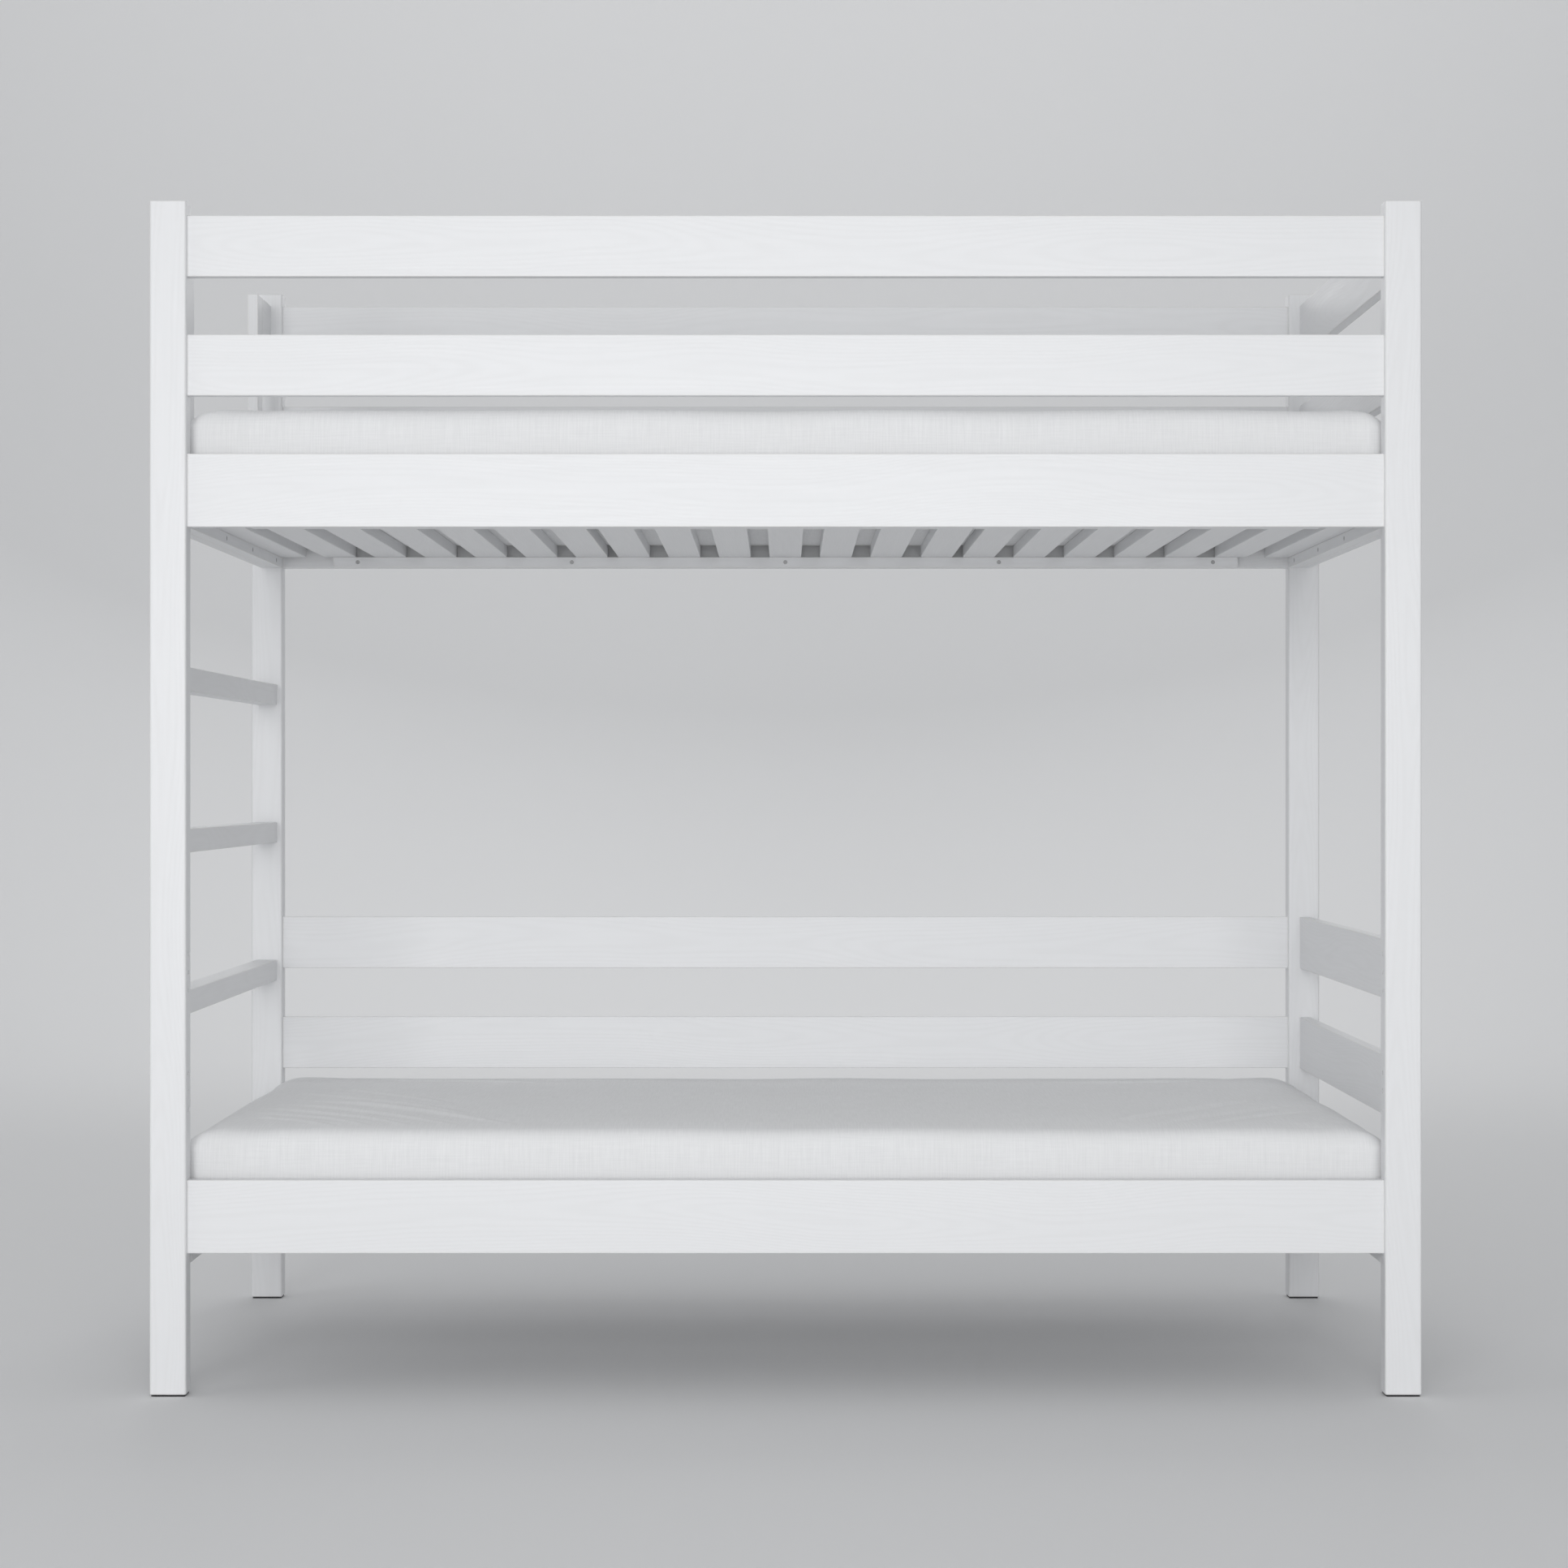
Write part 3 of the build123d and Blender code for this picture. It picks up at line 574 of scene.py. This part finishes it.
cover_cloth, tree, shader = new_material("slubbed_cotton_cover")
SLUB_WIDTH, SLUB_LENGTH = 0.0026, 0.060
WEAVE_PITCH = 0.0011
THREAD_SHADE = (0.775, 0.780, 0.789, 1.0)
THREAD_WHITE = (0.866, 0.871, 0.878, 1.0)
CLOTH_FADED = (0.79, 0.788, 0.788, 1.0)
coords = add_node(tree, "ShaderNodeTexCoord").outputs
split = add_node(tree, "ShaderNodeSeparateXYZ", {0: coords["Object"]}).outputs
turned_to = add_node(tree, "ShaderNodeVectorMath", {0: coords["Normal"]}, operation="ABSOLUTE")
facing = add_node(tree, "ShaderNodeSeparateXYZ", {0: turned_to.outputs[0]}).outputs
on_end = between(tree, facing["X"], 0.55, 0.85)
on_flat = between(tree, facing["Z"], 0.55, 0.85)


def turned_over(tree, share, first, second):
    """first on one side of the cover and second on the other, with a short change between."""
    return maths(tree, "MULTIPLY_ADD", maths(tree, "SUBTRACT", second, first), share, first)


def make_weave():
    """Slubbed threads both ways over a plain weave, on one flat side of the cover."""
    group = bpy.data.node_groups.new("slubbed_weave", "ShaderNodeTree")
    for name in ("Along", "Across"):
        group.interface.new_socket(name, in_out="INPUT", socket_type="NodeSocketFloat")
    group.interface.new_socket("Threads", in_out="OUTPUT", socket_type="NodeSocketFloat")
    along, across = group.nodes.new("NodeGroupInput").outputs[:2]
    laid = add_node(group, "ShaderNodeCombineXYZ", {0: along, 1: across}).outputs[0]
    warp = blotches(group, laid, (1 / SLUB_WIDTH, 1 / SLUB_LENGTH, 1.0), 1.0, 2.0)
    weft = blotches(group, laid, (1 / SLUB_LENGTH, 1 / SLUB_WIDTH, 1.0), 2.0, 2.0)
    over = maths(group, "SINE", maths(group, "MULTIPLY", along, 2 * math.pi / WEAVE_PITCH))
    under = maths(group, "SINE", maths(group, "MULTIPLY", across, 2 * math.pi / WEAVE_PITCH))
    plain = between(group, maths(group, "MULTIPLY", over, under), -1.0, 1.0)
    threads = mixture(group, (warp, 0.52), (weft, 0.30), (plain, 0.18))
    add_node(group, "NodeGroupOutput", {0: threads})
    return group


weave = make_weave()
laid_on = {}
for side, (first, second) in (("wall", "XZ"), ("end", "YZ"), ("flat", "XY")):
    sheet = add_node(tree, "ShaderNodeGroup", node_tree=weave)
    tree.links.new(split[first], sheet.inputs["Along"])
    tree.links.new(split[second], sheet.inputs["Across"])
    laid_on[side] = sheet.outputs["Threads"]
threads = turned_over(tree, on_end, laid_on["wall"], laid_on["end"])
threads = turned_over(tree, on_flat, threads, laid_on["flat"])
uneven = blotches(tree, coords["Object"], (9.0, 9.0, 9.0), 3.0, 2.0)
cloth_colour = blend_colour(tree, between(tree, threads, 0.34, 0.66), THREAD_SHADE, THREAD_WHITE)
faded = blend_colour(tree, between(tree, uneven, 0.3, 0.8, 0.0, 0.3), cloth_colour, CLOTH_FADED)
tree.links.new(faded, shader.inputs["Base Color"])
tree.links.new(raised(tree, threads, 0.42, 0.0009), shader.inputs["Normal"])
shader.inputs["Roughness"].default_value = 0.92
shader.inputs["Specular IOR Level"].default_value = 0.25
shader.inputs["Sheen Weight"].default_value = 0.12
shader.inputs["Sheen Roughness"].default_value = 0.5

FOAM_CELLS_PER_METRE = 700.0
FOAM_PALE = (0.84, 0.80, 0.66, 1.0)
FOAM_AGED = (0.70, 0.63, 0.46, 1.0)
foam, tree, shader = new_material("open_cell_foam")
here = add_node(tree, "ShaderNodeTexCoord").outputs["Object"]
cells = add_node(
    tree, "ShaderNodeTexVoronoi", {"Vector": here, "Scale": FOAM_CELLS_PER_METRE}, feature="F1"
).outputs["Distance"]
aged = blotches(tree, here, (5.0, 5.0, 5.0), 1.0, 2.0)
foam_tone = mixture(tree, (cells, 0.6), (aged, 0.4))
tree.links.new(blend_colour(tree, foam_tone, FOAM_PALE, FOAM_AGED), shader.inputs["Base Color"])
tree.links.new(raised(tree, cells, 0.7, 0.0008), shader.inputs["Normal"])
shader.inputs["Roughness"].default_value = 0.97

# Each crease: from, to, its bow, its half width and its height, in metres, in the plan.
CREASES = (
    ((-0.90, 0.02), (-0.42, -0.44), 0.030, 0.0090, 0.0062),
    ((-0.93, -0.05), (-0.52, -0.44), 0.026, 0.0075, 0.0052),
    ((-0.94, -0.12), (-0.60, -0.44), 0.020, 0.0072, 0.0050),
    ((-0.94, -0.19), (-0.67, -0.44), 0.015, 0.0068, 0.0044),
    ((-0.94, -0.26), (-0.73, -0.44), 0.011, 0.0065, 0.0036),
    ((-0.92, 0.14), (-0.50, -0.32), 0.034, 0.0100, 0.0040),
    ((-0.90, 0.24), (-0.56, -0.14), 0.030, 0.0090, 0.0032),
    ((-0.86, 0.37), (-0.34, 0.29), -0.012, 0.0090, 0.0036),
    ((-0.64, 0.38), (-0.16, 0.32), -0.010, 0.0080, 0.0030),
    ((0.90, 0.04), (0.50, -0.44), -0.026, 0.0085, 0.0050),
    ((0.94, -0.06), (0.58, -0.44), -0.020, 0.0075, 0.0044),
    ((0.94, -0.16), (0.66, -0.44), -0.014, 0.0070, 0.0036),
    ((0.86, 0.36), (0.44, 0.30), 0.012, 0.0090, 0.0030),
)

cover_shape = padded_block(
    "cover_pattern", COVER_HALF, COVER_LOW, COVER_HIGH,
    COVER_CORNER, COVER_TOP_EDGE, COVER_BOTTOM_EDGE, COVER_CELL, crown=COVER_CROWN,
)
swell(cover_shape, COVER_CAP, COVER_LOW)
subdivide_once(cover_shape)
swollen_points = read_points(cover_shape.data)
on_base = swollen_points[:, 2] < COVER_LOW + FLAT_BASE
swollen_points[on_base, 2] = COVER_LOW

for bed, turn, seed in (("lower", 1.0, 11), ("upper", -1.0, 29)):
    cad_low, cad_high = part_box(bed + "_mattress_cover")
    cover = bpy.data.objects.new(bed + "_mattress_stretch_cover", cover_shape.data.copy())
    bpy.context.scene.collection.objects.link(cover)
    points = swollen_points.copy()
    points[:, :2] *= turn
    rng = np.random.default_rng(seed)
    gather_corners(points, COVER_LOW, COVER_HIGH, rng)
    settle(points, COVER_LOW, COVER_HIGH, rng)
    crease_top(points, points[:, 2].max(), CREASES)
    points[:, 2] += cad_low.z
    write_points(cover.data, points)
    cover.data.materials.clear()
    cover.data.materials.append(cover_cloth)
    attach(cover, bed + "_mattress")
    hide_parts(bed + "_mattress_cover")

    core = padded_block(
        bed + "_mattress_foam_block", [h - FOAM_INSET for h in COVER_HALF],
        cad_low.z + FOAM_INSET / 3, cad_low.z + COVER_HIGH - FOAM_INSET,
        COVER_CORNER, COVER_TOP_EDGE, COVER_BOTTOM_EDGE, FOAM_CELL,
    )
    core.data.materials.append(foam)
    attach(core, bed + "_mattress")
    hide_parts(bed + "_mattress_core")
bpy.data.objects.remove(cover_shape)


# Studio floor: a plain pale floor that curves up into a plain wall all the way round. It is
# a backdrop in matt paint, and no part of the bed.
FLOOR_RADIUS, COVE_RADIUS, WALL_TOP = 9.0, 3.0, 5.3
STUDIO_PAINT = (0.80, 0.803, 0.81, 1.0)
profile = [(0.0, 0.0), (2.0, 0.0), (5.0, 0.0)]
profile += [
    (FLOOR_RADIUS - COVE_RADIUS * (1 - math.sin(a)), COVE_RADIUS * (1 - math.cos(a)))
    for a in np.linspace(0, math.pi / 2, 13)
]
profile.append((FLOOR_RADIUS, WALL_TOP))
SIDES = 96
studio_points, studio_faces = [], []
for radius, height in profile[1:]:
    for side in range(SIDES):
        angle = 2 * math.pi * side / SIDES
        studio_points.append((radius * math.cos(angle), radius * math.sin(angle), height))
studio_faces.append(tuple(range(SIDES)))
for ring in range(len(profile) - 2):
    for side in range(SIDES):
        ahead = (side + 1) % SIDES
        inner, outer = ring * SIDES, (ring + 1) * SIDES
        studio_faces.append((inner + side, outer + side, outer + ahead, inner + ahead))
studio_mesh = bpy.data.meshes.new("studio_floor")
studio_mesh.from_pydata(studio_points, [], studio_faces)
studio_mesh.shade_smooth()
studio = bpy.data.objects.new("studio_floor", studio_mesh)
bpy.context.scene.collection.objects.link(studio)
paint, tree, shader = new_material("studio_paint")
shader.inputs["Base Color"].default_value = STUDIO_PAINT
shader.inputs["Roughness"].default_value = 0.9
shader.inputs["Specular IOR Level"].default_value = 0.1
studio_mesh.materials.append(paint)


# Lights and camera: a wide soft light in front, a weaker one from the ladder's end, one from
# behind and one on the wall, with an even glow from the open top. The camera stands square
# on to the front, at half the bed's height.
def soft_light(name, place, target, size, watts, spread=180.0):
    """A large oblong light aimed at a point; spread is how wide its beam fans out, in degrees."""
    lamp = bpy.data.lights.new(name, "AREA")
    lamp.shape = "RECTANGLE"
    lamp.size, lamp.size_y = size
    lamp.energy = watts
    lamp.spread = math.radians(spread)
    made = bpy.data.objects.new(name, lamp)
    bpy.context.scene.collection.objects.link(made)
    made.location = place
    aim = Vector(target) - Vector(place)
    made.rotation_euler = aim.to_track_quat("-Z", "Y").to_euler()
    return made


soft_light("key_light", (-0.45, -6.6, 1.8), (0.0, 0.0, 1.0), (4.8, 3.4), 54.0, spread=82.0)
soft_light("side_light", (-6.6, -2.6, 2.4), (0.0, 0.0, 1.0), (3.0, 3.0), 26.0)
soft_light("back_light", (0.0, 7.0, 4.5), (0.0, 0.0, 1.2), (6.0, 4.0), 90.0)
soft_light("wall_light", (0.0, 4.6, 6.0), (0.0, 9.0, 4.8), (6.0, 1.2), 66.0)

glow = bpy.data.worlds.new("open_top")
glow.use_nodes = True
glow.node_tree.nodes["Background"].inputs["Color"].default_value = (0.98, 0.99, 1.0, 1.0)
glow.node_tree.nodes["Background"].inputs["Strength"].default_value = 0.47
bpy.context.scene.world = glow

camera = bpy.data.cameras.new("camera")
camera.lens = 69.69
camera.sensor_width = 36.0
camera.shift_y = 0.0001
camera_stand = bpy.data.objects.new("camera", camera)
camera_stand.location = (-0.0026, -5.456, 1.0016)
camera_stand.rotation_euler = (math.pi / 2, 0.0, 0.0)
bpy.context.scene.collection.objects.link(camera_stand)
bpy.context.scene.camera = camera_stand
bpy.context.scene.view_settings.view_transform = "Standard"
